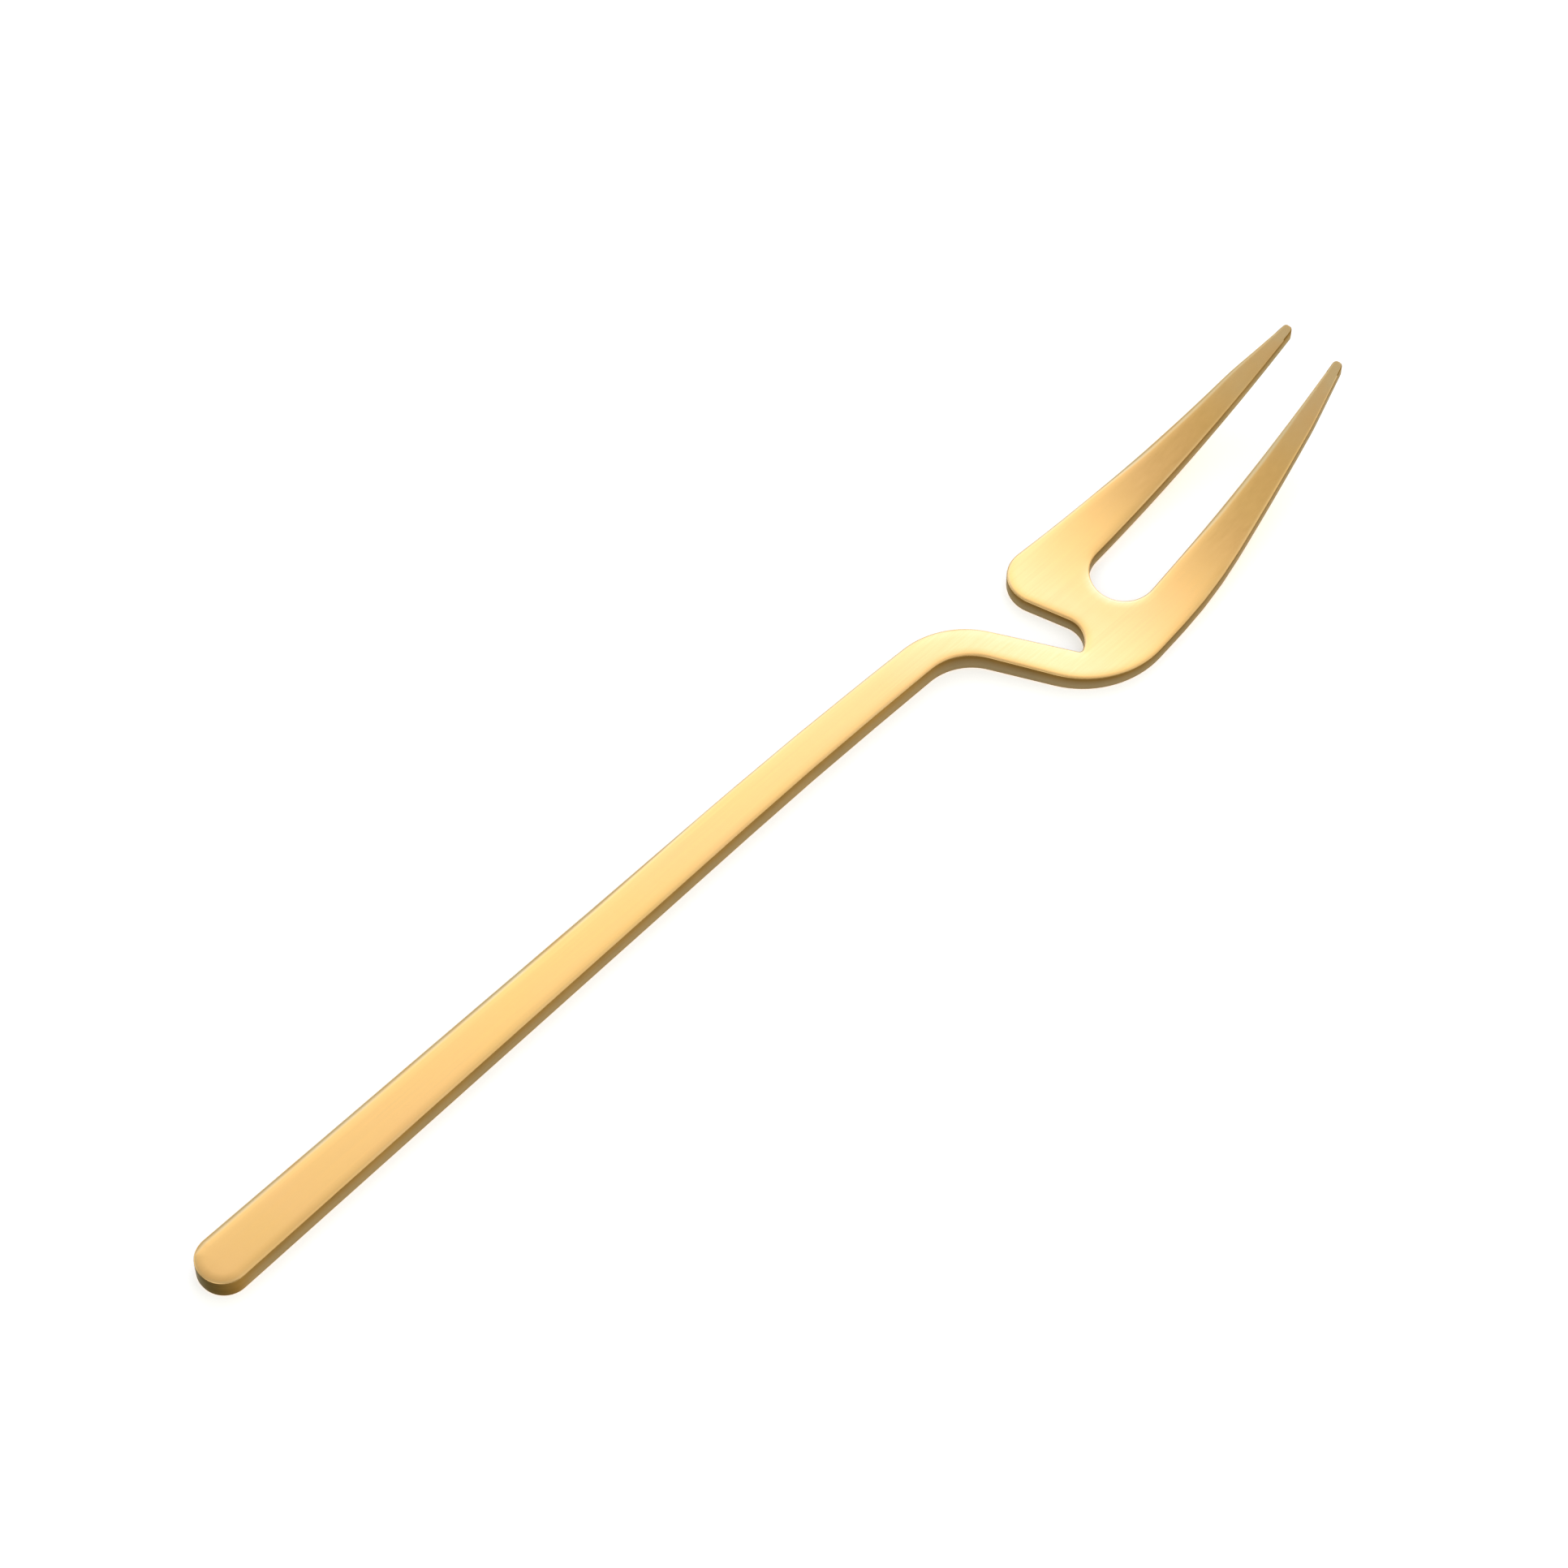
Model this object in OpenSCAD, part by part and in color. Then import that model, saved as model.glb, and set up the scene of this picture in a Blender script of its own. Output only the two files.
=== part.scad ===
// Dessert fork with two tines, made from one piece of sheet metal: the blank is
// cut to its outline, rolled thinner towards the head, and the tines are curved up.
// Millimetres. +Y runs along the handle to the tine tips, +X to the right, +Z up.
// The origin is on the table, under the middle of the fork.

/* [Handle] */
// Overall length, from the butt to the tine tips
fork_len = 140; // [130:1:150]
// Width of the handle at the butt
butt_w = 5.25; // [4.6:0.05:6]
// Width of the handle where the neck begins
stem_w = 3.35; // [3:0.05:4]
// Thickness of the handle
handle_t = 2.4; // [2:0.1:3]
// Sideways sway of the handle, to the left of a straight line from the butt to the bend
handle_sway = 0.5; // [0.2:0.1:0.7]

/* [Neck] */
// Angle of the neck from square across the handle
neck_angle = 30.5; // [28:0.5:33]
// Width of the neck
neck_w = 3.3; // [3:0.05:3.5]
// Radius of the right edge at the bend
bend_r = 5.5; // [4:0.5:7]
// Radius of the right edge where the neck turns up into the right tine
heel_r = 9.5; // [8.5:0.5:10.5]
// Distance of the closed end of the notch above the neck, to the right of the handle's axis
notch_x = 9.6; // [9:0.1:10.2]
// Half the width of the notch at its closed end
notch_r = 1.55; // [1.3:0.05:1.8]

/* [Head] */
// Distance of the slot's root to the right of the handle's axis
head_x = 7; // [6.6:0.1:7.4]
// Lean of the head towards the handle's axis, in degrees
head_lean = 4.9; // [3:0.1:6]
// Length of the tines, from the slot's root to the tips
tine_len = 32; // [30:0.5:34]
// Distance of the left edge from the head's axis at the slot's root
root_w = 8.8; // [8.5:0.05:9.1]
// Distance of the right edge from the head's axis at the slot's root
hip_w = 8; // [7.8:0.05:8.2]
// Distance of both outer edges from the head's axis where they begin to narrow to the tips
knee_w = 5; // [4.8:0.05:5.2]
// Distance of that place from the slot's root
knee_at = 26; // [24:0.5:27]
// Width of the slot at its root
slot_root_w = 6.6; // [6.1:0.1:7.1]
// Width of the slot at the tips
slot_tip_w = 5.2; // [4.8:0.1:5.6]
// Width of each tip
tip_w = 1; // [0.8:0.1:1.3]
// Height of the crown, from its lower edge to the slot's root
crown_h = 4.2; // [4:0.1:4.6]
// Slope of the crown's lower edge across the head, in degrees
crown_slope = 12.7; // [11:0.1:14]
// Radius of the left shoulder
shoulder_r = 3.4; // [2.9:0.1:3.9]

/* [Forming] */
// Thickness at the lowest part of the head
crown_t = 1.7; // [1.4:0.1:1.9]
// Thickness at the tine tips
tip_t = 1.3; // [1.1:0.1:1.5]
// Radius of the upward curve on the head's upper face
dish_r = 98; // [90:1:110]
// Distance from the tips back to the lowest part of the head
dish_len = 34; // [32:0.5:36]
// Steepest slope of the upper face on the neck, in degrees
neck_fall = 4; // [3:0.2:5]

/* [Hidden] */

gold = [0.93, 0.75, 0.42];

// Largest turn between neighbouring points on a curve, in degrees
plan_step = 7.5;
side_step = 1;

// Radii of the gentle bends in the handle and in the tines' outer edges
sway_r = 500;
hip_r = 60;
knee_r = 25;
// Place of the bend in the handle, as a share of the way to the neck
sway_at = 0.8;
// Distance from the slot's root to the bend in the right edge
hip_at = 7;
// Angle by which the neck widens towards the head, in degrees
neck_spread = 2.2;
// Share of a full round at the butt and the tips
butt_round = 0.98;
tip_round = 0.9;
// The closed end of the notch has a wide curve on the crown's side and a tight one on the neck's
notch_wide = 1.75;
notch_tight = 0.23;
// The left tine's longer length, as a share of what would bring both tips level along the handle
tip_level = 0.8;
// Distance of the tips' middle to the right of the head's axis
tip_shift = 0.15;

// A direction, by its angle from +X
function towards(a) = [cos(a), sin(a)];

function cross2(a, b) = a.x * b.y - a.y * b.x;

// Where the line through p at angle a crosses the line through q at angle b
function meet(p, a, q, b) =
    p + towards(a) * cross2(q - p, towards(b)) / cross2(towards(a), towards(b));

// Points along an arc, from one angle to another, either way round
function arc(centre, r, from, to, step) =
    let (n = max(2, ceil(abs(to - from) / step)))
    [for (i = [0 : n]) centre + r * towards(from + (to - from) * i / n)];

// An outline through corners [x, y, radius], with each corner rounded to its radius
function rounded(corners) =
    let (n = len(corners))
    [for (i = [0 : n - 1])
        let (
            before = corners[(i + n - 1) % n],
            here = corners[i],
            after = corners[(i + 1) % n],
            corner = [here.x, here.y],
            back = [before.x, before.y] - corner,
            ahead = [after.x, after.y] - corner,
            u = back / norm(back),
            w = ahead / norm(ahead),
            half = acos(u * w) / 2,
            middle = (u + w) / norm(u + w),
            centre = corner + middle * here.z / sin(half),
            out = corner - centre,
            out_a = atan2(out.y, out.x),
            sweep = (90 - half) * sign(cross2(w, u))
        )
        each arc(centre, here.z, out_a - sweep, out_a + sweep, plan_step)];

// The head's own axes: u across it and v along it, from the slot's root
head_y = fork_len - tine_len * cos(head_lean) - slot_tip_w / 2 * sin(head_lean);
function head(u, v) =
    [head_x, head_y] + u * towards(head_lean) + v * towards(head_lean + 90);

// Edges of the tines and the slot
side_a = atan((root_w - knee_w) / knee_at);
slot_a = atan((slot_root_w - slot_tip_w) / 2 / tine_len);
slot_r = slot_root_w / 2 * tan(45 - slot_a / 2);
tip_in = slot_tip_w / 2;
tip_out = tip_in + tip_w;
tip_r = tip_w / 2 * tip_round;
tip_rise = (tip_in + tip_out) * tan(head_lean) * tip_level;

// Lower edge of the crown, and the closed end of the notch below it
crown_a = head_lean + crown_slope;
crown_p = head(0, -crown_h);
notch_a = (crown_a + neck_angle) / 2;
notch_c = meet(
    crown_p - towards(crown_a + 90) * notch_r, crown_a,
    [notch_x - notch_r, 0], 90
);
notch_end = notch_c + towards(notch_a) * notch_r;

// Neck edges, below the notch
neck_up = towards(neck_angle + 90);
neck_high = notch_c - neck_up * notch_r;
neck_low = neck_high - neck_up * neck_w;
neck_low_a = neck_angle - neck_spread;
bend_outer_r = bend_r + neck_w;

// Handle edges and butt
bend_y = meet([0, 0], 90, (neck_high + neck_low) / 2, neck_angle).y;
taper = atan((butt_w - stem_w) / 2 / bend_y);
butt_left = [-butt_w / 2, 0];
butt_right = [butt_w / 2, 0];
butt_r = butt_w / 2 * tan(45 - taper / 2) * butt_round;
bend_left = meet(neck_high, neck_angle, butt_left, 90 - taper);
bend_right = meet(neck_low, neck_low_a, butt_right, 90 + taper);
function sway(butt, bend) = butt + (bend - butt) * sway_at - [handle_sway, 0];

function with_r(p, r) = [p.x, p.y, r];

// Corners of the blank, counter-clockwise from the butt
corners = [
    with_r(butt_left, butt_r),
    with_r(butt_right, butt_r),
    with_r(sway(butt_right, bend_right), sway_r),
    with_r(bend_right, bend_r),
    with_r(meet(neck_low, neck_low_a, head(hip_w, 0), head_lean + 90), heel_r),
    with_r(head(hip_w, hip_at), hip_r),
    with_r(head(knee_w, knee_at), knee_r),
    with_r(head(tip_shift + tip_out, tine_len), tip_r),
    with_r(head(tip_shift + tip_in, tine_len), tip_r),
    with_r(head(slot_root_w / 2, 0), slot_r),
    with_r(head(-slot_root_w / 2, 0), slot_r),
    with_r(head(tip_shift - tip_in, tine_len + tip_rise), tip_r),
    with_r(head(tip_shift - tip_out, tine_len + tip_rise), tip_r),
    with_r(head(-knee_w, knee_at), knee_r),
    with_r(meet(head(-root_w, 0), head_lean + 90 - side_a, crown_p, crown_a), shoulder_r),
    with_r(meet(crown_p, crown_a, notch_end, notch_a + 90), notch_r * notch_wide),
    with_r(meet(neck_high, neck_angle, notch_end, notch_a + 90), notch_r * notch_tight),
    with_r(bend_left, bend_outer_r),
    with_r(sway(butt_left, bend_left), sway_r)
];
outline = rounded(corners);

// Side view, as [y, z]: the upper face runs level, falls on the neck and rises on the dish.
// It runs past the blank at both ends, by a length and by a turn of the dish.
overrun = 2;
overrun_a = 2;
dish_y = fork_len - dish_len;
dish_a = asin(dish_len / dish_r);
dish_c = [dish_y, crown_t + dish_r];
fall_start = dish_c + dish_r * towards(-90 - neck_fall);
crest_r = (handle_t - fall_start.y) / (1 - cos(neck_fall));
crest_c = [fall_start.x - crest_r * sin(neck_fall), handle_t - crest_r];
upper_face = concat(
    [[-overrun, handle_t]],
    arc(crest_c, crest_r, 90, 90 - neck_fall, side_step),
    arc(dish_c, dish_r, -90 - neck_fall, dish_a - 90 + overrun_a, side_step)
);

// The lower face is flat on the table as far as the head, then rises to meet the tips
tip_top = dish_c + dish_r * towards(dish_a - 90);
tip_low = tip_top + tip_t * towards(dish_a - 90);
belly_r = (pow(tip_low.x - dish_y, 2) + pow(tip_low.y, 2)) / (2 * tip_low.y);
belly_a = asin((tip_low.x - dish_y) / belly_r);
lower_face = concat(
    [[-overrun, 0]],
    arc([dish_y, belly_r], belly_r, -90, belly_a - 90 + overrun_a, side_step)
);
side_view = concat(lower_face, [for (i = [len(upper_face) - 1 : -1 : 0]) upper_face[i]]);

// The origin goes under the middle of the outline
mid_x = (max([for (p = outline) p.x]) + min([for (p = outline) p.x])) / 2;
mid_y = (max([for (p = outline) p.y]) + min([for (p = outline) p.y])) / 2;
tall = 2 * tip_top.y;
wide = 8 * root_w;

// The whole fork: the cut blank, kept to the formed thickness
module fork() {
    color(gold)
        translate([-mid_x, -mid_y, 0])
            intersection() {
                translate([0, 0, -tall / 4])
                    linear_extrude(tall)
                        polygon(outline);
                rotate([90, 0, 90])
                    linear_extrude(wide, center = true)
                        polygon(side_view);
            }
}

fork();
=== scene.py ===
"""A gold coated dessert fork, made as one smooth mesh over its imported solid, in a plain studio.

Sizes are in millimetres until a mesh or a light is made, and the fork's plan runs from its butt,
with +Y to the tips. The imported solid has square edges. The mesh made here has the same outline and
forming, with the edges softened as on the polished fork.
"""

import logging
import math
from collections.abc import Sequence
from dataclasses import dataclass, field, replace
from enum import Enum

import bpy
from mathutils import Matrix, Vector
from mathutils.geometry import delaunay_2d_cdt

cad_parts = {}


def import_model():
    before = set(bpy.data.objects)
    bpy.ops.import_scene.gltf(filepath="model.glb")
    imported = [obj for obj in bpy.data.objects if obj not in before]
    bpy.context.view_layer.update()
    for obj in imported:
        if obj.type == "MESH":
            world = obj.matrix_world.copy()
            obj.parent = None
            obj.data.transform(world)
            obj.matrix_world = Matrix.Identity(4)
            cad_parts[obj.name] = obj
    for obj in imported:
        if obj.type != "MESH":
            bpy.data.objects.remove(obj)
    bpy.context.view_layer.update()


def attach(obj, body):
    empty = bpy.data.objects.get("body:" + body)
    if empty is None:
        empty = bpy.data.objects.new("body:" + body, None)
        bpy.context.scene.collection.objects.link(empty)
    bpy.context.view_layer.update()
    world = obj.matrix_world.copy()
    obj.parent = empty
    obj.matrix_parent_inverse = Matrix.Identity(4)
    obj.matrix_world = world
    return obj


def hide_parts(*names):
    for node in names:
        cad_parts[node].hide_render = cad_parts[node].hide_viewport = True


MM = 0.001
HALF_TURN = 180.0
TINY = 1e-6
PIECE = "fork_body"
# Mesh attributes that the finishes read: how far the coating has worn, with the painted light and
# shade on the rims and edges, and how far down the cut edge a point lies
WEAR_AND_LIGHT = "wear_and_light"
DOWN_EDGE = "down_edge"
# Noise for slow drifts and for fine marks, and the span that such noise seldom leaves
SLOW_NOISE = {"Detail": 2.0, "Roughness": 0.5}
FINE_NOISE = {"Detail": 3.0, "Roughness": 0.6}
NOISE_SPAN = {"From Min": 0.3, "From Max": 0.7}
# The kind of result of delaunay_2d_cdt that has only the triangles inside the outline
INSIDE_ONLY = 1

log = logging.getLogger("dessert_fork")


class Face(Enum):
    """The two broad faces of the sheet."""

    UPPER = 1
    LOWER = -1


def hex_to_linear(code: str) -> tuple[float, float, float, float]:
    """Turns an sRGB hex colour into the linear colour that a shader socket takes.

    Args:
        code: six hex digits after a hash sign.

    Returns:
        Linear red, green and blue, with an alpha of 1.
    """
    values = [int(code[i : i + 2], 16) / 255 for i in (1, 3, 5)]
    linear = [v / 12.92 if v <= 0.04045 else ((v + 0.055) / 1.055) ** 2.4 for v in values]
    return (linear[0], linear[1], linear[2], 1.0)


def add_node(
    tree: bpy.types.NodeTree,
    kind: str,
    inputs: dict[str | int, object] | None = None,
    **settings: object,
) -> bpy.types.Node:
    """Adds a node with its settings, input values and links.

    Args:
        tree: the node tree that gets the node.
        kind: Blender's name for the node type.
        inputs: for each input, by name or number, a value or the output socket that feeds it.
        settings: the node's own properties.

    Returns:
        The new node.
    """
    node = tree.nodes.new(kind)
    for name, value in settings.items():
        setattr(node, name, value)
    for key, value in (inputs or {}).items():
        if isinstance(value, bpy.types.NodeSocket):
            tree.links.new(value, node.inputs[key])
        else:
            node.inputs[key].default_value = value
    return node


def new_material(name: str) -> bpy.types.Material:
    """Makes a material whose node tree is still empty.

    Args:
        name: the material's name.

    Returns:
        The material.
    """
    made = bpy.data.materials.new(name)
    made.use_nodes = True
    made.node_tree.nodes.clear()
    return made


def put_in_scene(name: str, data: bpy.types.ID) -> bpy.types.Object:
    """Makes an object and links it into the scene.

    Args:
        name: the object's name.
        data: its mesh or camera.

    Returns:
        The object.
    """
    made = bpy.data.objects.new(name, data)
    bpy.context.scene.collection.objects.link(made)
    return made


def share_of(value: float, none: float, full: float) -> float:
    """How far a value has come from none to full, kept between 0 and 1."""
    return min(1.0, max(0.0, (value - none) / (full - none)))


def towards(angle: float) -> Vector:
    """The unit vector at an angle from +X, in degrees."""
    return Vector((math.cos(math.radians(angle)), math.sin(math.radians(angle))))


def meet(p: Vector, a: float, q: Vector, b: float) -> Vector:
    """Where the line through p at angle a, in degrees, crosses the line through q at angle b."""
    first, second = towards(a), towards(b)
    return p + first * ((q - p).cross(second) / first.cross(second))


@dataclass(frozen=True)
class Corner:
    """A corner of the blank, rounded to a radius."""

    at: Vector
    radius: float

    def rounding(self, before: Vector, after: Vector, step: float) -> list[Vector]:
        """Makes the arc that rounds this corner off.

        Args:
            before: the corner before this one along the outline.
            after: the corner after it.
            step: the largest turn between neighbouring points, in degrees.

        Returns:
            Points along the arc, in the outline's direction.
        """
        back = (before - self.at).normalized()
        ahead = (after - self.at).normalized()
        half = back.angle(ahead) / 2
        centre = self.at + (back + ahead).normalized() * (self.radius / math.sin(half))
        out = self.at - centre
        middle = math.degrees(math.atan2(out.y, out.x))
        sweep = math.copysign(90 - math.degrees(half), ahead.cross(back))
        count = max(2, math.ceil(2 * abs(sweep) / step))
        return [
            centre + towards(middle - sweep + 2 * sweep * i / count) * self.radius
            for i in range(count + 1)
        ]


@dataclass(frozen=True)
class Blank:
    """The flat outline that the fork is cut to, seen from above."""

    fork_len: float = 140.0
    butt_w: float = 5.25
    butt_round: float = 0.98
    stem_w: float = 3.35
    handle_sway: float = 0.5
    sway_at: float = 0.8
    sway_r: float = 500.0
    neck_angle: float = 30.5
    neck_w: float = 3.3
    neck_spread: float = 2.2
    bend_r: float = 5.5
    heel_r: float = 9.5
    notch_x: float = 9.6
    notch_r: float = 1.55
    notch_wide: float = 1.75
    notch_tight: float = 0.23
    head_x: float = 7.0
    head_lean: float = 4.9
    tine_len: float = 32.0
    root_w: float = 8.8
    hip_w: float = 8.0
    hip_at: float = 7.0
    hip_r: float = 60.0
    knee_w: float = 5.0
    knee_at: float = 26.0
    knee_r: float = 25.0
    slot_root_w: float = 6.6
    slot_tip_w: float = 5.2
    tip_w: float = 1.0
    tip_round: float = 0.9
    tip_level: float = 0.8
    tip_shift: float = 0.15
    crown_h: float = 4.2
    crown_slope: float = 12.7
    shoulder_r: float = 3.4
    arc_step: float = 4.0
    longest_run: float = 1.0

    def head(self, across: float, along: float) -> Vector:
        """Finds the plan point at a place on the leaning head.

        Args:
            across: distance to the right of the head's axis.
            along: distance from the slot's root towards the tips.

        Returns:
            The point in the plan.
        """
        lean = math.radians(self.head_lean)
        reach = self.tine_len * math.cos(lean) + self.slot_tip_w / 2 * math.sin(lean)
        root = Vector((self.head_x, self.fork_len - reach))
        return root + towards(self.head_lean) * across + towards(self.head_lean + 90) * along

    def corners(self) -> list[Corner]:
        """Works out the blank's corners.

        Returns:
            The corners, counter-clockwise from the butt.
        """
        up = self.head_lean + 90
        side_a = math.degrees(math.atan((self.root_w - self.knee_w) / self.knee_at))
        slot_a = math.degrees(math.atan((self.slot_root_w - self.slot_tip_w) / 2 / self.tine_len))
        slot_r = self.slot_root_w / 2 * math.tan(math.radians(45 - slot_a / 2))
        tip_in = self.slot_tip_w / 2
        tip_out = tip_in + self.tip_w
        tip_r = self.tip_w / 2 * self.tip_round
        level = (tip_in + tip_out) * math.tan(math.radians(self.head_lean))
        left_len = self.tine_len + level * self.tip_level

        crown_a = self.head_lean + self.crown_slope
        crown = self.head(0, -self.crown_h)
        notch_a = (crown_a + self.neck_angle) / 2
        notch_c = meet(
            crown - towards(crown_a + 90) * self.notch_r,
            crown_a,
            Vector((self.notch_x - self.notch_r, 0)),
            90,
        )
        notch_end = notch_c + towards(notch_a) * self.notch_r

        neck_up = towards(self.neck_angle + 90)
        neck_high = notch_c - neck_up * self.notch_r
        neck_low = neck_high - neck_up * self.neck_w
        neck_low_a = self.neck_angle - self.neck_spread
        bend_y = meet(Vector((0, 0)), 90, (neck_high + neck_low) / 2, self.neck_angle).y
        taper = math.degrees(math.atan((self.butt_w - self.stem_w) / 2 / bend_y))
        butt_left, butt_right = Vector((-self.butt_w / 2, 0)), Vector((self.butt_w / 2, 0))
        butt_r = self.butt_w / 2 * math.tan(math.radians(45 - taper / 2)) * self.butt_round
        bend_left = meet(neck_high, self.neck_angle, butt_left, 90 - taper)
        bend_right = meet(neck_low, neck_low_a, butt_right, 90 + taper)
        sway = Vector((-self.handle_sway, 0))

        return [
            Corner(butt_left, butt_r),
            Corner(butt_right, butt_r),
            Corner(butt_right.lerp(bend_right, self.sway_at) + sway, self.sway_r),
            Corner(bend_right, self.bend_r),
            Corner(meet(neck_low, neck_low_a, self.head(self.hip_w, 0), up), self.heel_r),
            Corner(self.head(self.hip_w, self.hip_at), self.hip_r),
            Corner(self.head(self.knee_w, self.knee_at), self.knee_r),
            Corner(self.head(self.tip_shift + tip_out, self.tine_len), tip_r),
            Corner(self.head(self.tip_shift + tip_in, self.tine_len), tip_r),
            Corner(self.head(self.slot_root_w / 2, 0), slot_r),
            Corner(self.head(-self.slot_root_w / 2, 0), slot_r),
            Corner(self.head(self.tip_shift - tip_in, left_len), tip_r),
            Corner(self.head(self.tip_shift - tip_out, left_len), tip_r),
            Corner(self.head(-self.knee_w, self.knee_at), self.knee_r),
            Corner(meet(self.head(-self.root_w, 0), up - side_a, crown, crown_a), self.shoulder_r),
            Corner(meet(crown, crown_a, notch_end, notch_a + 90), self.notch_r * self.notch_wide),
            Corner(
                meet(neck_high, self.neck_angle, notch_end, notch_a + 90),
                self.notch_r * self.notch_tight,
            ),
            Corner(bend_left, self.bend_r + self.neck_w),
            Corner(butt_left.lerp(bend_left, self.sway_at) + sway, self.sway_r),
        ]

    def outline(self) -> list[Vector]:
        """Rounds the corners and divides the straight runs between them.

        Returns:
            The closed outline, counter-clockwise, with no two points alike.
        """
        corners = self.corners()
        count = len(corners)
        rough: list[Vector] = []
        for i, corner in enumerate(corners):
            rough += corner.rounding(corners[i - 1].at, corners[(i + 1) % count].at, self.arc_step)
        points: list[Vector] = []
        for i, here in enumerate(rough):
            run = rough[(i + 1) % len(rough)] - here
            parts = math.ceil(run.length / self.longest_run - TINY)
            points += [here + run * (k / parts) for k in range(parts)]
        return points


@dataclass(frozen=True)
class Forming:
    """The side view: the sheet's thickness, the neck's fall and the upward curve of the tines."""

    fork_len: float = 140.0
    handle_t: float = 2.4
    crown_t: float = 1.7
    tip_t: float = 1.3
    dish_r: float = 98.0
    dish_len: float = 34.0
    neck_fall: float = 4.0

    def height(self, y: float, face: Face) -> float:
        """Gives the height of a face above the table.

        Args:
            y: distance from the butt.
            face: which of the two faces.

        Returns:
            The height there.
        """
        dish_y = self.fork_len - self.dish_len
        if face is Face.LOWER:
            tilt = math.asin(self.dish_len / self.dish_r)
            tip_y = self.dish_len + self.tip_t * math.sin(tilt)
            tip_z = self.crown_t + self.dish_r * (1 - math.cos(tilt)) - self.tip_t * math.cos(tilt)
            belly_r = (tip_y**2 + tip_z**2) / (2 * tip_z)
            return 0.0 if y <= dish_y else belly_r - math.sqrt(belly_r**2 - (y - dish_y) ** 2)
        fall = math.radians(self.neck_fall)
        fall_y = dish_y - self.dish_r * math.sin(fall)
        fall_z = self.crown_t + self.dish_r * (1 - math.cos(fall))
        crest_r = (self.handle_t - fall_z) / (1 - math.cos(fall))
        crest_y = fall_y - crest_r * math.sin(fall)
        if y <= crest_y:
            return self.handle_t
        if y <= fall_y:
            return self.handle_t - crest_r + math.sqrt(crest_r**2 - (y - crest_y) ** 2)
        return self.crown_t + self.dish_r - math.sqrt(self.dish_r**2 - (y - dish_y) ** 2)


@dataclass(frozen=True)
class GoldCoatedSteel:
    """Stainless steel with a thin gold coloured coating, polished to a satin sheen along the fork.

    To the eye it is a warm metal with wide soft reflections, faint lengthwise polish lines and slow
    drifts between a yellow and a peach gold.
    """

    name: str = "gold_coated_steel_satin_polished"
    yellow_gold: str = "#f1c877"
    peach_gold: str = "#f5c086"
    # Along the edges the coating has worn thin and the paler steel shows through, in patches. This
    # paler colour also paints a highlight on the sloping rims, and light on the ground edges' sides
    worn_and_lit_gold: str = "#e9d6ae"
    wear_mm: float = 5.0
    least_worn: float = 0.3
    # Colour of the reflections at a grazing view
    grazing: str = "#ffffff"
    roughness: tuple[float, float] = (0.19, 0.27)
    drift_mm: float = 14.0
    # Real polish lines are about 0.05 mm apart, too fine to show, so they are drawn coarser here
    line_mm: tuple[float, float, float] = (0.22, 14.0, 0.22)
    line_depth_mm: float = 0.0006
    line_strength: float = 0.5

    def colour(self, tree: bpy.types.NodeTree, place: bpy.types.NodeSocket) -> bpy.types.NodeSocket:
        """Works out the colour of the coating.

        Args:
            tree: the material's node tree.
            place: the point on the fork.

        Returns:
            A gold that drifts slowly over the fork, paler where worn and where light is painted.
        """
        drift = add_node(
            tree,
            "ShaderNodeTexNoise",
            {"Vector": place, "Scale": 1 / (self.drift_mm * MM), **SLOW_NOISE},
        )
        gold = add_node(
            tree,
            "ShaderNodeMix",
            {
                "Factor": drift.outputs["Fac"],
                "A": hex_to_linear(self.yellow_gold),
                "B": hex_to_linear(self.peach_gold),
            },
            data_type="RGBA",
        )
        patches = add_node(
            tree,
            "ShaderNodeTexNoise",
            {"Vector": place, "Scale": 1 / (self.wear_mm * MM), **FINE_NOISE},
        )
        edge = add_node(tree, "ShaderNodeAttribute", attribute_name=WEAR_AND_LIGHT)
        uneven = add_node(
            tree,
            "ShaderNodeMapRange",
            {"Value": patches.outputs["Fac"], **NOISE_SPAN, "To Min": self.least_worn},
        )
        # Mixes towards the paler gold where the coating has worn and where light is painted on
        worn_and_lit = add_node(
            tree,
            "ShaderNodeMath",
            {0: edge.outputs["Fac"], 1: uneven.outputs["Result"]},
            operation="MULTIPLY",
        )
        return add_node(
            tree,
            "ShaderNodeMix",
            {
                "Factor": worn_and_lit.outputs["Value"],
                "A": gold.outputs[2],
                "B": hex_to_linear(self.worn_and_lit_gold),
            },
            data_type="RGBA",
        ).outputs[2]

    def material(self) -> bpy.types.Material:
        """Makes the material.

        Returns:
            A metal whose colour, roughness and bump come from its polish.
        """
        made = new_material(self.name)
        tree = made.node_tree
        place = add_node(tree, "ShaderNodeTexCoord").outputs["Object"]
        stretched = add_node(
            tree,
            "ShaderNodeMapping",
            {"Vector": place, "Scale": [1 / (size * MM) for size in self.line_mm]},
        )
        lines = add_node(
            tree,
            "ShaderNodeTexNoise",
            {"Vector": stretched.outputs["Vector"], "Scale": 1.0, **FINE_NOISE},
        )
        sheen = add_node(
            tree,
            "ShaderNodeMapRange",
            {
                "Value": lines.outputs["Fac"],
                **NOISE_SPAN,
                "To Min": self.roughness[0],
                "To Max": self.roughness[1],
            },
        )
        bump = add_node(
            tree,
            "ShaderNodeBump",
            {
                "Height": lines.outputs["Fac"],
                "Strength": self.line_strength,
                "Distance": self.line_depth_mm * MM,
            },
        )
        shader = add_node(
            tree,
            "ShaderNodeBsdfPrincipled",
            {
                "Base Color": self.colour(tree, place),
                "Metallic": 1.0,
                "Specular Tint": hex_to_linear(self.grazing),
                "Roughness": sheen.outputs["Result"],
                "Normal": bump.outputs["Normal"],
            },
        )
        add_node(tree, "ShaderNodeOutputMaterial", {"Surface": shader.outputs["BSDF"]})
        return made


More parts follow.
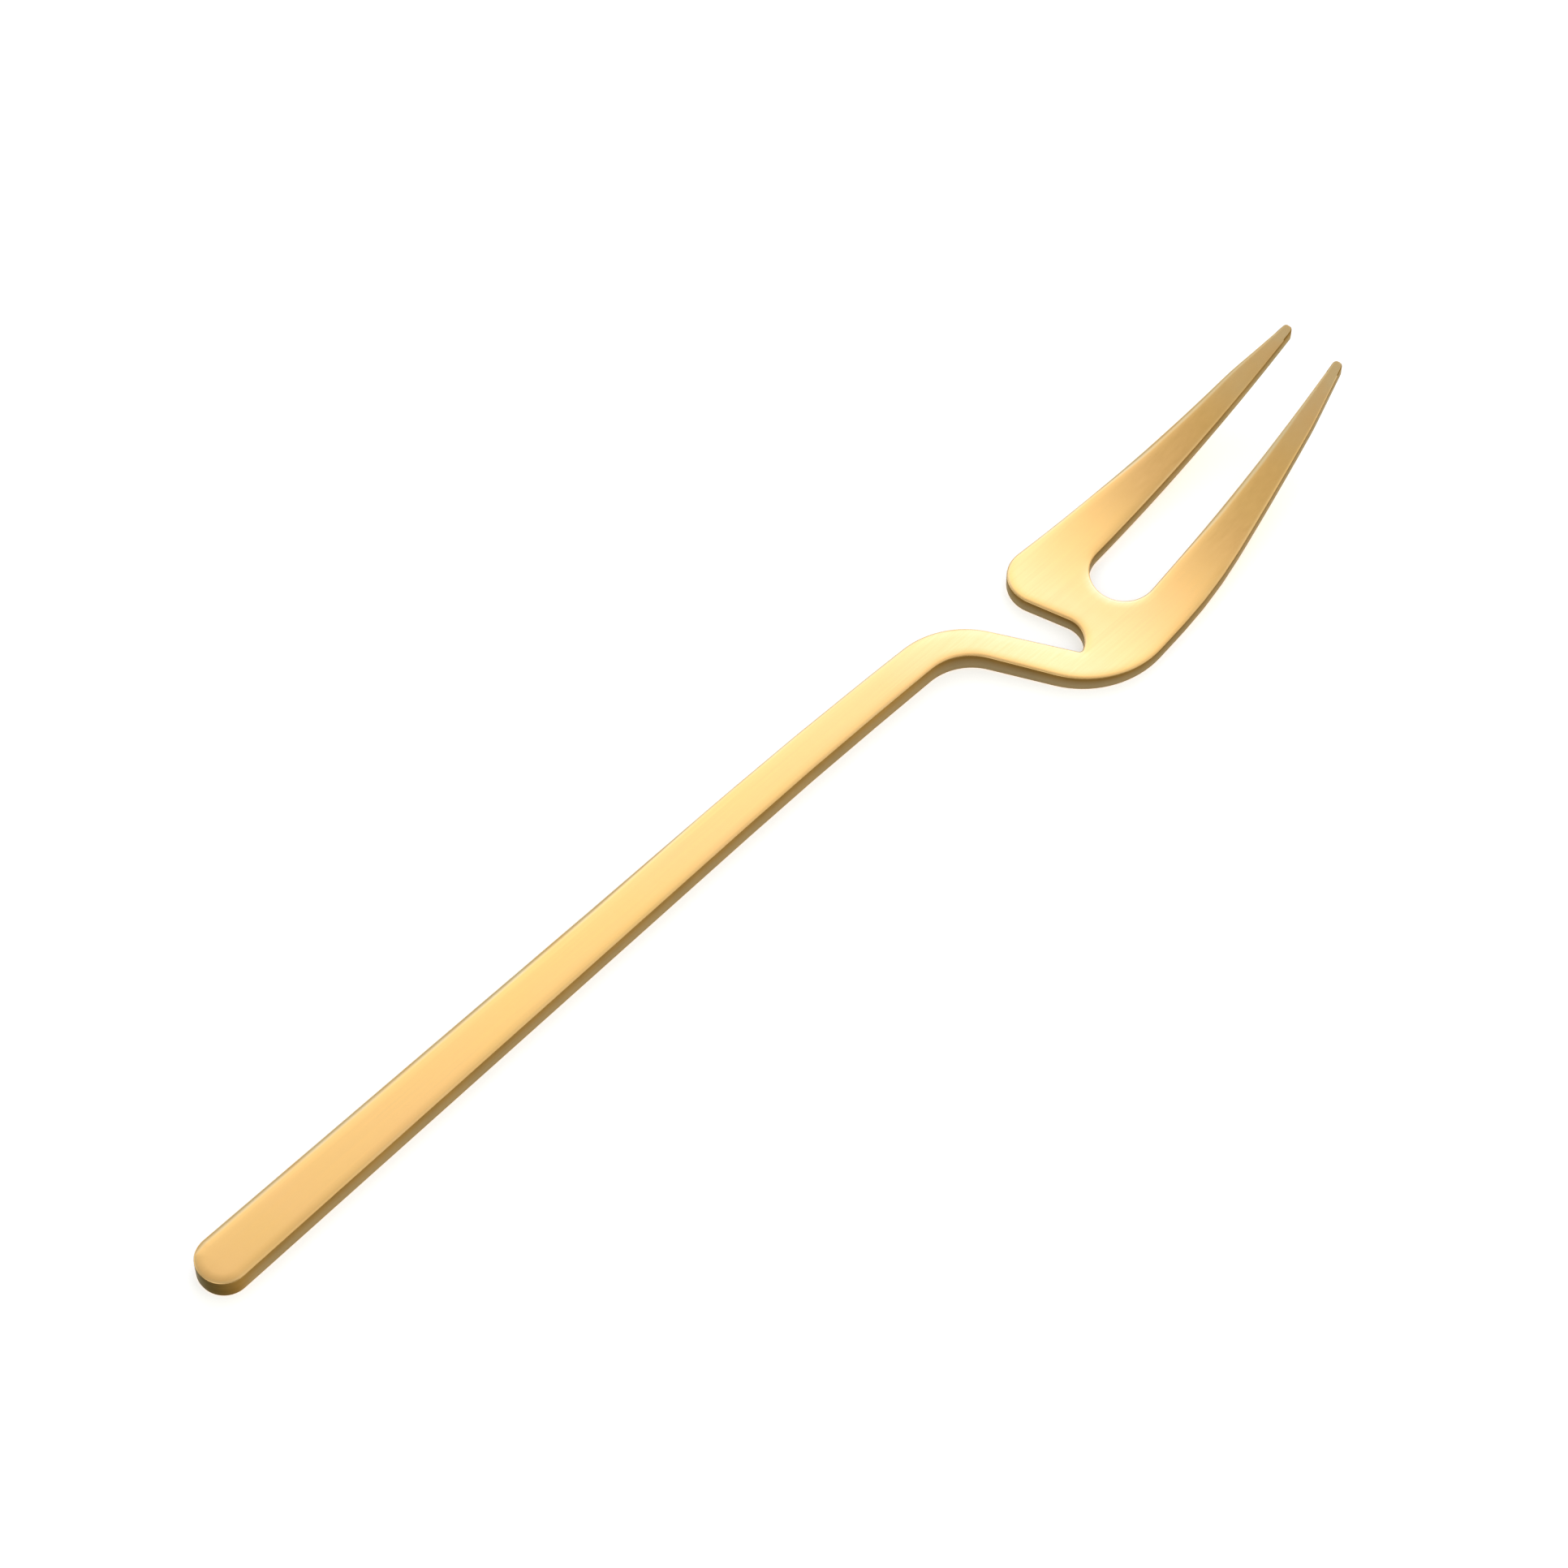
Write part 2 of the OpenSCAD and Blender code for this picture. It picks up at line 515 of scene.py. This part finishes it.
@dataclass(frozen=True)
class GroundEdgeWithPaintedShade(GoldCoatedSteel):
    """The same coating over edges that were ground along the outline after cutting.

    To the eye the edges are a browner, duller gold than the faces, with fine stripes that run along
    them. The dark brown is painted shade, for the shadowed floor that the edges mirror. It is
    darkest at the butt's end, lighter where other edges face the butt, lighter still along the
    head's sides and lightest along the handle's sides. The lower part of each edge has a paler
    painted reflection.
    """

    name: str = "gold_coated_steel_ground_edge_painted_shade"
    # Painted shade: these dark browns stand for the shadowed floor that the edges mirror, and the
    # lighter gold below them is painted light on the edges' sides
    yellow_gold: str = "#4c3b1b"
    peach_gold: str = "#463418"
    worn_and_lit_gold: str = "#a37b3b"
    least_worn: float = 0.7
    grazing: str = "#e6dec6"
    roughness: tuple[float, float] = (0.28, 0.42)
    drift_mm: float = 6.0
    # Real grinding lines are about 0.1 mm apart, and are drawn at three times that to show at all
    line_mm: tuple[float, float, float] = (9.0, 9.0, 0.30)
    line_depth_mm: float = 0.004
    # The lower part of each edge is paler, a painted reflection of the pale floor. It starts and is
    # full at these shares of the way down the edge
    low_reflection_gold: str = "#b8ab8c"
    low_reflection_share: float = 0.42
    low_reflection_span: tuple[float, float] = (0.1, 0.7)

    def colour(self, tree: bpy.types.NodeTree, place: bpy.types.NodeSocket) -> bpy.types.NodeSocket:
        """Works out the colour of the ground edge.

        Args:
            tree: the material's node tree.
            place: the point on the fork.

        Returns:
            The coating's colour under painted shade, paler in the lower part as a painted
            reflection.
        """
        # How far down the edge a point lies: the lower part takes a paler painted reflection
        down = add_node(tree, "ShaderNodeAttribute", attribute_name=DOWN_EDGE)
        low_reflection = add_node(
            tree,
            "ShaderNodeMapRange",
            {
                "Value": down.outputs["Fac"],
                "From Min": self.low_reflection_span[0],
                "From Max": self.low_reflection_span[1],
                "To Max": self.low_reflection_share,
            },
        )
        return add_node(
            tree,
            "ShaderNodeMix",
            {
                "Factor": low_reflection.outputs["Result"],
                "A": super().colour(tree, place),
                "B": hex_to_linear(self.low_reflection_gold),
            },
            data_type="RGBA",
        ).outputs[2]


@dataclass(frozen=True)
class StudioPaper:
    """Matt white background paper, unrolled flat: pale, even and without gloss.

    The camera and the metal see it lifted to white, and the fork's shadow still shows on it.
    """

    name: str = "matt_white_background_paper"
    colour: str = "#f4f5f8"
    roughness: float = 0.95
    lift: float = 0.50

    def material(self) -> bpy.types.Material:
        """Makes the material.

        Returns:
            A plain pale matt surface, lifted for the rays that show it.
        """
        made = new_material(self.name)
        tree = made.node_tree
        matt = add_node(
            tree,
            "ShaderNodeBsdfDiffuse",
            {"Color": hex_to_linear(self.colour), "Roughness": self.roughness},
        ).outputs["BSDF"]
        glow = add_node(tree, "ShaderNodeEmission", {"Strength": self.lift}).outputs["Emission"]
        lifted = add_node(tree, "ShaderNodeAddShader", {0: matt, 1: glow}).outputs["Shader"]
        ray = add_node(tree, "ShaderNodeLightPath").outputs
        direct = add_node(
            tree,
            "ShaderNodeMath",
            {0: ray["Is Camera Ray"], 1: ray["Is Glossy Ray"]},
            use_clamp=True,
        )
        shown = add_node(
            tree,
            "ShaderNodeMath",
            {0: direct.outputs["Value"], 1: ray["Is Transmission Ray"]},
            use_clamp=True,
        )
        seen = add_node(
            tree, "ShaderNodeMixShader", {"Fac": shown.outputs["Value"], 1: matt, 2: lifted}
        )
        add_node(tree, "ShaderNodeOutputMaterial", {"Surface": seen.outputs["Shader"]})
        return made


@dataclass(frozen=True)
class EdgeArc:
    """An arc in the cross-section of the fork's edge, which turns down from the face."""

    end_tilt: float
    radius: float
    steps: int


@dataclass(frozen=True)
class Level:
    """A ring round the fork's edge, placed from the outline and from one of the broad faces.

    Each pair is an inset and a depth. The shoulder's and the bevel's are kept apart, because both
    narrow with the tines, and the bevel is wide only on some of the left sides.
    """

    face: Face
    tilt: float
    rounding: tuple[float, float]
    shoulder: tuple[float, float] = (0.0, 0.0)
    bevel: tuple[float, float] = (0.0, 0.0)
    down_wall: float = 0.0


@dataclass
class Fork:
    """The whole fork: one formed and polished piece of sheet."""

    blank: Blank = field(default_factory=Blank)
    forming: Forming = field(default_factory=Forming)
    face_finish: GoldCoatedSteel = field(default_factory=GoldCoatedSteel)
    edge_finish_and_shade: GoldCoatedSteel = field(default_factory=GroundEdgeWithPaintedShade)
    node: str = "fork"
    slot: str = "gold_steel"
    # The polishing wheel has crowned the upper face towards its edges and rounded them, and has
    # only broken the lower edges
    shoulder: tuple[EdgeArc, ...] = (EdgeArc(4.0, 9.0, 2), EdgeArc(12.0, 1.6, 2))
    bevel: EdgeArc = EdgeArc(28.0, 1.2, 4)
    rounding: EdgeArc = EdgeArc(90.0, 0.15, 6)
    foot: EdgeArc = EdgeArc(90.0, 0.15, 4)
    # The shoulder takes up to this share of the room across the sheet, and its own share of its
    # full width grows by no more than this for each millimetre along the outline
    room_share: float = 0.85
    widening: float = 0.2
    # The bevel grows as an edge turns to face left. It is wide along the handle and the tines, and
    # narrow from the handle's last third to the crown. The pairs run from none of it to all of it
    bevel_turn: tuple[float, float] = (0.75, 0.97)
    bevel_handle: tuple[float, float] = (66.0, 50.0)
    bevel_tines: tuple[float, float] = (114.0, 122.0)
    least_bevel: float = 0.15
    # Strips steeper than this are ground and take the edges' painted shade. At the tips the whole
    # rounding takes it, as painted shade over a highlight there
    shaded_ground_tilt: float = 50.0
    shaded_ground_tips: float = 138.6
    # The rim is paler where it slopes, partly wear and partly a painted highlight, and less on the
    # right sides
    pale_rim_tilts: tuple[float, float] = (4.0, 12.0)
    pale_rim_right: float = 0.3
    # Painted light: the handle's edges are lit as far as the neck, and the head's edges less
    lit_handle_span: tuple[float, float] = (88.0, 104.0)
    lit_head_share: float = 0.55
    # Painted light: edges that face the butt are lit this much, apart from the butt's own end, whose
    # edge keeps the darkest painted shade
    base_edge_light: float = 0.40
    butt_end: tuple[float, float] = (1.5, 4.0)
    # The coating wears away towards the tips
    worn_tips: tuple[float, float] = (128.0, 142.0)
    # Steps down the edge, what polishing has taken off it, and the spacing of points on the faces
    wall_steps: int = 3
    polish_off: float = 0.02
    grain: float = 0.9

    @staticmethod
    def turn(tilt: float, arcs: Sequence[EdgeArc]) -> list[tuple[float, float, float]]:
        """Follows arcs down from a face.

        Args:
            tilt: the slope that they start from, in degrees.
            arcs: the arcs, in order.

        Returns:
            The slope in degrees, the distance out and the depth, at the start and after each step.
        """
        path = [(tilt, 0.0, 0.0)]
        for arc in arcs:
            first = path[-1][0]
            for i in range(1, arc.steps + 1):
                before, out, depth = path[-1]
                after = first + (arc.end_tilt - first) * i / arc.steps
                old, new = math.radians(before), math.radians(after)
                out += arc.radius * (math.sin(new) - math.sin(old))
                depth += arc.radius * (math.cos(old) - math.cos(new))
                path.append((after, out, depth))
        return path

    def levels(self) -> list[Level]:
        """Lists the rings that run round the fork, from its upper face to its lower face.

        Returns:
            The rings in that order.
        """
        shoulder = self.turn(0.0, self.shoulder)
        bevel = self.turn(shoulder[-1][0], [self.bevel])
        rounding = self.turn(bevel[-1][0], [self.rounding])
        foot = self.turn(0.0, [self.foot])
        wide, deep = shoulder[-1][1:]
        bevel_wide, bevel_deep = bevel[-1][1:]
        reach, foot_reach = rounding[-1][1], foot[-1][1]
        upper = [
            Level(Face.UPPER, tilt, (reach, 0.0), (wide - out, depth), (bevel_wide, 0.0))
            for tilt, out, depth in shoulder[:-1]
        ]
        upper += [
            Level(Face.UPPER, tilt, (reach, 0.0), (0.0, deep), (bevel_wide - out, depth))
            for tilt, out, depth in bevel[:-1]
        ]
        upper += [
            Level(Face.UPPER, tilt, (reach - out, depth), (0.0, deep), (0.0, bevel_deep))
            for tilt, out, depth in rounding
        ]
        lower = [Level(Face.LOWER, tilt, (foot_reach - out, depth)) for tilt, out, depth in foot]
        steps = self.wall_steps
        wall = [replace(upper[-1], down_wall=i / steps) for i in range(1, steps)]
        return upper + wall + lower[::-1]

    def bevel_share(self, inward: Vector, y: float) -> float:
        """The bevel's share of its full width, 1 on left edges of the handle and the tines."""
        along = max(share_of(y, *self.bevel_handle), share_of(y, *self.bevel_tines))
        return max(self.least_bevel, share_of(inward.x, *self.bevel_turn) * along)

    # Painted shade: the ground strips take the edges' dark material
    def shaded_ground_strips(self) -> tuple[int, int]:
        """The first strip between rings that is ground, and the first one after it that isn't."""
        steep = [i for i, level in enumerate(self.levels()) if level.tilt >= self.shaded_ground_tilt]
        return steep[0], steep[-1]

    def past_butt(self, y: float) -> float:
        """From 0 at the butt's rounded end to 1 along the rest of the fork."""
        return share_of(y, *self.butt_end)

    def wear_and_light(self, level: Level, inward: Vector, y: float) -> float:
        """Says how far the coating has worn at a point on a ring, with the painted light there.

        Args:
            level: the ring.
            inward: the direction into the sheet at that point.
            y: the point's distance from the butt.

        Returns:
            From 0 on a face, or at the butt's end, to 1 on the left rim or the handle's sides.
        """
        # Ground strips: painted light along the sides, less on the head, and painted shade where
        # edges face the butt, darkest at the butt's end
        if level.tilt >= self.shaded_ground_tilt:
            kept = 1 - (1 - self.lit_head_share) * share_of(y, *self.lit_handle_span)
            base_light = self.base_edge_light * self.past_butt(y)
            return base_light + (1 - base_light) * (1 - max(0.0, inward.y)) * kept
        if level.face is Face.LOWER:
            return 0.0
        # On the upper rim: some wear and a painted highlight, stronger on the left sides
        left = self.pale_rim_right + (1 - self.pale_rim_right) * max(0.0, inward.x)
        return share_of(level.tilt, *self.pale_rim_tilts) * left

    def inward(self, outline: Sequence[Vector]) -> list[Vector]:
        """Finds the direction into the sheet at each point of the outline.

        Args:
            outline: the blank's outline.

        Returns:
            Unit vectors in the plan.
        """
        ways = []
        for i, here in enumerate(outline):
            after = outline[(i + 1) % len(outline)]
            run = (here - outline[i - 1]).normalized() + (after - here).normalized()
            ways.append(Vector((-run.y, run.x)).normalized())
        return ways

    def shoulder_share(self, outline: Sequence[Vector]) -> list[float]:
        """Finds how much of the shoulder's full width there is room for along the outline.

        Args:
            outline: the blank's outline.

        Returns:
            A share from 0 to 1 for each point, which changes slowly along the outline.
        """
        widest = self.levels()[0]
        wide = widest.shoulder[0] + widest.bevel[0]
        taken = self.polish_off + widest.rounding[0]
        shares = []
        for here, way in zip(outline, self.inward(outline)):
            room = math.inf
            for other in outline:
                reach = (other - here).dot(way)
                if reach > TINY:
                    room = min(room, (other - here).length_squared / (2 * reach))
            shares.append(share_of(self.room_share * room - taken, 0.0, wide))
        for way_round in (1, -1):
            for i in [way_round * k for k in range(2 * len(outline))]:
                here, before = i % len(outline), (i - way_round) % len(outline)
                step = (outline[here] - outline[before]).length
                shares[here] = min(shares[here], shares[before] + self.widening * step)
        return shares

    def ring(
        self, outline: Sequence[Vector], shares: Sequence[float], level: Level
    ) -> list[Vector]:
        """Places one ring of points round the fork.

        Args:
            outline: the blank's outline.
            shares: the shoulder's share of its full width at each point of the outline.
            level: the ring's place.

        Returns:
            Points in the plan with their heights, one for each point of the outline.
        """
        points = []
        for here, way, share in zip(outline, self.inward(outline), shares):
            shape = Vector(level.rounding) + Vector(level.shoulder) * share
            inset, depth = shape + Vector(level.bevel) * (share * self.bevel_share(way, here.y))
            at = here + way * (self.polish_off + inset)
            height = self.forming.height(at.y, level.face) - depth * level.face.value
            foot = self.forming.height(at.y, Face.LOWER) + self.foot.radius
            points.append(Vector((at.x, at.y, height + (foot - height) * level.down_wall)))
        return points

    def interior(self, edge: Sequence[Vector]) -> list[Vector]:
        """Spreads points over a broad face, so that it bends smoothly.

        Args:
            edge: the ring that bounds the face.

        Returns:
            Plan points inside the ring, clear of it, in rows set over by half a step.
        """
        row = self.grain * math.sqrt(3) / 2
        xs, ys = [p.x for p in edge], [p.y for p in edge]
        inside = []
        for j in range(int((max(ys) - min(ys)) / row)):
            y = min(ys) + (j + 0.5) * row
            cuts = sorted(
                a.x + (b.x - a.x) * (y - a.y) / (b.y - a.y)
                for a, b in zip(edge, [*edge[1:], edge[0]])
                if (a.y > y) != (b.y > y)
            )
            for left, right in zip(cuts[::2], cuts[1::2]):
                first = math.ceil((left + self.grain / 2 - min(xs)) / self.grain - j % 2 / 2)
                x = min(xs) + (first + j % 2 / 2) * self.grain
                while x < right - self.grain / 2:
                    near = min((p.x - x) ** 2 + (p.y - y) ** 2 for p in edge)
                    if near > (self.grain / 2) ** 2:
                        inside.append(Vector((x, y)))
                    x += self.grain
        return inside

    def skin(self, outline: Sequence[Vector]) -> tuple[list[Vector], list[tuple[int, ...]]]:
        """Works out the fork's surface.

        Args:
            outline: the blank's outline.

        Returns:
            Points in the plan with their heights, ring by ring and then over both broad faces, and
            the mesh's faces between them, strip by strip and then over both broad faces.
        """
        count = len(outline)
        shares = self.shoulder_share(outline)
        rings = [self.ring(outline, shares, level) for level in self.levels()]
        edge = [Vector((p.x, p.y)) for p in rings[0]]
        flat, _, tiles, sources, _, _ = delaunay_2d_cdt(
            edge + self.interior(edge), [], [list(range(count))], INSIDE_ONLY, TINY
        )
        middle = [k for k in range(len(flat)) if min(sources[k], default=count) >= count]
        rim = [k for k in range(len(flat)) if min(sources[k], default=count) < count]
        points = [p for ring in rings for p in ring]
        faces = [
            (r * count + i, (r + 1) * count + i, (r + 1) * count + j, r * count + j)
            for r in range(len(rings) - 1)
            for i, j in zip(range(count), [*range(1, count), 0])
        ]
        for face, first in ((Face.UPPER, 0), (Face.LOWER, (len(rings) - 1) * count)):
            number = {k: first + min(sources[k]) for k in rim}
            for k in middle:
                number[k] = len(points)
                x, y = flat[k]
                points.append(Vector((x, y, self.forming.height(y, face))))
            faces += [tuple(number[k] for k in tile[:: face.value]) for tile in tiles]
        return points, faces

    def grind_and_shade(self, mesh: bpy.types.Mesh, count: int, middle: float) -> None:
        """Picks out the strips that have the ground finish with painted shade, the second material.

        Args:
            mesh: the fork's mesh.
            count: how many faces a strip has.
            middle: distance from the butt to the mesh's origin.
        """
        first, last = self.shaded_ground_strips()
        for face in mesh.polygons[first * count : last * count]:
            face.material_index = 1
        # Painted shade on the tips' rounding, where a highlight would show
        tips = (self.shaded_ground_tips - middle) * MM
        rounded = (sum(arc.steps for arc in self.shoulder) + self.bevel.steps) * count
        for face in mesh.polygons[rounded : first * count]:
            face.material_index = int(face.center.y > tips)

    def mark(
        self, mesh: bpy.types.Mesh, outline: Sequence[Vector], points: Sequence[Vector]
    ) -> None:
        """Stores on each point its wear and painted light, and how far down the cut edge it lies.

        Args:
            mesh: the fork's mesh.
            outline: the blank's outline.
            points: the mesh's points, from the butt, with the rings first.
        """
        worn_and_lit, low_reflection = [0.0] * len(points), [0.0] * len(points)
        ways = self.inward(outline)
        for r, level in enumerate(self.levels()):
            down = 1.0 if level.face is Face.LOWER else level.down_wall
            for i, (here, way) in enumerate(zip(outline, ways), r * len(outline)):
                worn_and_lit[i] = self.wear_and_light(level, way, here.y)
                low_reflection[i] = down * self.past_butt(here.y)
        worn_and_lit = [max(share, share_of(p.y, *self.worn_tips)) for share, p in zip(worn_and_lit, points)]
        for name, values in ((WEAR_AND_LIGHT, worn_and_lit), (DOWN_EDGE, low_reflection)):
            mesh.attributes.new(name, "FLOAT", "POINT").data.foreach_set("value", values)

    def build(self) -> bpy.types.Object:
        """Makes the fork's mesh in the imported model's frame.

        Returns:
            The fork, as one closed smooth mesh.
        """
        outline = self.blank.outline()
        points, faces = self.skin(outline)
        low, high = (Vector([end(p[k] for p in outline) for k in (0, 1)]) for end in (min, max))
        centre = ((low + high) / 2).to_3d()
        mesh = bpy.data.meshes.new(PIECE)
        mesh.from_pydata([(p - centre) * MM for p in points], [], faces)
        mesh.validate()
        mesh.shade_smooth()
        self.grind_and_shade(mesh, len(outline), centre.y)
        self.mark(mesh, outline, points)
        return put_in_scene(PIECE, mesh)

    def dress(self, fork: bpy.types.Object) -> None:
        """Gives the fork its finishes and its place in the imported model.

        Args:
            fork: the fork's mesh object.
        """
        fork.data.materials.append(self.face_finish.material())
        fork.data.materials.append(self.edge_finish_and_shade.material())
        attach(fork, "root")
        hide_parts(self.node)


@dataclass(frozen=True)
class Viewpoint:
    """The camera: a long lens that looks down on the fork from its right."""

    azimuth: float = 44.53
    elevation: float = 58.0
    distance_mm: float = 504.5
    target_mm: tuple[float, float, float] = (-5.52, 1.479, 2.4)
    focal_px: float = 6770.0
    image_px: float = 1932.0
    sensor_mm: float = 36.0
    clip_m: tuple[float, float] = (0.01, 20.0)

    def build(self) -> bpy.types.Object:
        """Makes the camera and hands it to the scene.

        Returns:
            The camera.
        """
        a, e = math.radians(self.azimuth), math.radians(self.elevation)
        back = Vector((math.sin(a) * math.cos(e), -math.cos(a) * math.cos(e), math.sin(e)))
        lens = bpy.data.cameras.new("camera")
        lens.sensor_width = self.sensor_mm
        lens.lens = self.sensor_mm * self.focal_px / self.image_px
        lens.clip_start, lens.clip_end = self.clip_m
        camera = put_in_scene("camera", lens)
        camera.location = (Vector(self.target_mm) + back * self.distance_mm) * MM
        camera.rotation_euler = (-back).to_track_quat("-Z", "Y").to_euler()
        bpy.context.scene.camera = camera
        return camera


@dataclass(frozen=True)
class SoftLight:
    """A soft light in the surroundings, which fades with the angle from its middle."""

    middle: tuple[float, float, float]
    # Pairs of an angle from the middle, in degrees, and the brightness there
    glow: tuple[tuple[float, float], ...]
    colour: str = "#ffffff"

    def add_to(
        self, tree: bpy.types.NodeTree, total: bpy.types.NodeSocket | Sequence[float]
    ) -> bpy.types.NodeSocket:
        """Adds this light to the colour of the surroundings.

        Args:
            tree: the world's node tree.
            total: the colour so far.

        Returns:
            The colour with this light in it.
        """
        most = max(level for _, level in self.glow)
        tint = [most * c for c in hex_to_linear(self.colour)[:3]]
        way = add_node(tree, "ShaderNodeTexCoord").outputs["Generated"]
        cosine = add_node(
            tree,
            "ShaderNodeVectorMath",
            {0: way, 1: Vector(self.middle).normalized()},
            operation="DOT_PRODUCT",
        )
        angle = add_node(
            tree, "ShaderNodeMath", {0: cosine.outputs["Value"]}, operation="ARCCOSINE"
        )
        share = add_node(
            tree, "ShaderNodeMapRange", {"Value": angle.outputs["Value"], "From Max": math.pi}
        )
        ramp = add_node(tree, "ShaderNodeValToRGB", {"Fac": share.outputs["Result"]})
        stops = ramp.color_ramp.elements
        while len(stops) < len(self.glow):
            stops.new(0.5)
        for stop, (degrees, level) in zip(stops, self.glow):
            stop.position = degrees / HALF_TURN
            stop.color = (*[level / most] * 3, 1.0)
        return add_node(
            tree,
            "ShaderNodeVectorMath",
            {0: ramp.outputs["Color"], 1: tint, 2: total},
            operation="MULTIPLY_ADD",
        ).outputs["Vector"]


@dataclass
class Studio:
    """The floor and the light.

    A window stands beyond the fork's tips, with a lit sill below it, a strip on the left, a fill on
    the right and dim reflectors round the rest of the room.
    """

    paper: StudioPaper = field(default_factory=StudioPaper)
    floor_m: float = 6.0
    floor_drop_mm: float = 0.01
    ambient: float = 0.42
    room: str = "#fffbe4"
    # The bright sky in the window, and the lit curtain and walls around it
    sky: SoftLight = SoftLight(
        (-0.36, 0.62, 0.70),
        ((0.0, 2.10), (7.0, 2.10), (9.5, 1.65), (12.0, 0.74), (15.0, 0.22), (18.0, 0.0)),
        "#75a2ff",
    )
    curtain: SoftLight = SoftLight(
        (-0.36, 0.62, 0.70),
        (
            (0.0, 0.70),
            (8.0, 0.75),
            (12.0, 0.95),
            (15.0, 0.95),
            (18.0, 0.80),
            (20.0, 0.75),
            (22.0, 0.63),
            (23.5, 0.46),
            (25.5, 0.29),
            (29.0, 0.20),
            (33.0, 0.18),
            (38.0, 0.18),
            (45.0, 0.18),
            (60.0, 0.15),
            (75.0, 0.08),
            (95.0, 0.03),
            (180.0, 0.0),
        ),
    )
    strip: SoftLight = SoftLight(
        (-0.64, 0.29, 0.70),
        ((0.0, 0.62), (8.0, 0.58), (14.0, 0.34), (18.0, 0.10), (22.0, 0.0)),
        "#dce8ff",
    )
    sill: SoftLight = SoftLight(
        (-0.20, 0.95, 0.20), ((0.0, 0.9), (16.0, 0.8), (26.0, 0.3), (34.0, 0.0)), "#e6eeff"
    )
    fill: SoftLight = SoftLight(
        (0.30, 0.38, 0.875), ((0.0, 0.38), (10.0, 0.36), (18.0, 0.24), (26.0, 0.06), (34.0, 0.0))
    )
    # White reflectors round the rest of the room, which the metal shows from other sides
    reflectors: tuple[SoftLight, ...] = (
        SoftLight((0.25, -0.80, 0.50), ((0.0, 0.60), (14.0, 0.52), (26.0, 0.20), (36.0, 0.0))),
        SoftLight((0.85, 0.40, 0.30), ((0.0, 0.42), (12.0, 0.38), (22.0, 0.14), (30.0, 0.0))),
        SoftLight((-0.85, -0.36, 0.36), ((0.0, 0.55), (12.0, 0.48), (22.0, 0.18), (32.0, 0.0))),
    )

    def floor(self) -> bpy.types.Object:
        """Lays the background paper under the fork.

        Returns:
            The floor.
        """
        half = self.floor_m / 2
        mesh = bpy.data.meshes.new("floor")
        corners = [(-half, -half, 0), (half, -half, 0), (half, half, 0), (-half, half, 0)]
        mesh.from_pydata(corners, [], [(0, 1, 2, 3)])
        mesh.materials.append(self.paper.material())
        floor = put_in_scene("floor", mesh)
        floor.location.z = -self.floor_drop_mm * MM
        return floor

    def light(self) -> bpy.types.World:
        """Sets the surroundings that light the fork.

        Returns:
            The world, with the soft lights in it.
        """
        world = bpy.data.worlds.new("studio")
        world.use_nodes = True
        tree = world.node_tree
        tree.nodes.clear()
        room = hex_to_linear(self.room)[:3]
        total: bpy.types.NodeSocket | list[float] = [self.ambient * c for c in room]
        for soft in (self.sky, self.curtain, self.sill, self.strip, self.fill, *self.reflectors):
            total = soft.add_to(tree, total)
        backdrop = add_node(tree, "ShaderNodeBackground", {"Color": total})
        add_node(tree, "ShaderNodeOutputWorld", {"Surface": backdrop.outputs["Background"]})
        bpy.context.scene.world = world
        return world


def main() -> None:
    """Builds the fork and its studio."""
    logging.basicConfig(level=logging.INFO, format="%(name)s: %(message)s")
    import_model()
    bpy.context.scene.view_settings.view_transform = "Standard"
    Viewpoint().build()
    studio = Studio()
    studio.floor()
    studio.light()
    fork = Fork()
    piece = fork.build()
    fork.dress(piece)
    mesh = piece.data
    log.info("%s: %d points, %d faces", piece.name, len(mesh.vertices), len(mesh.polygons))


if __name__ == "__main__":
    main()
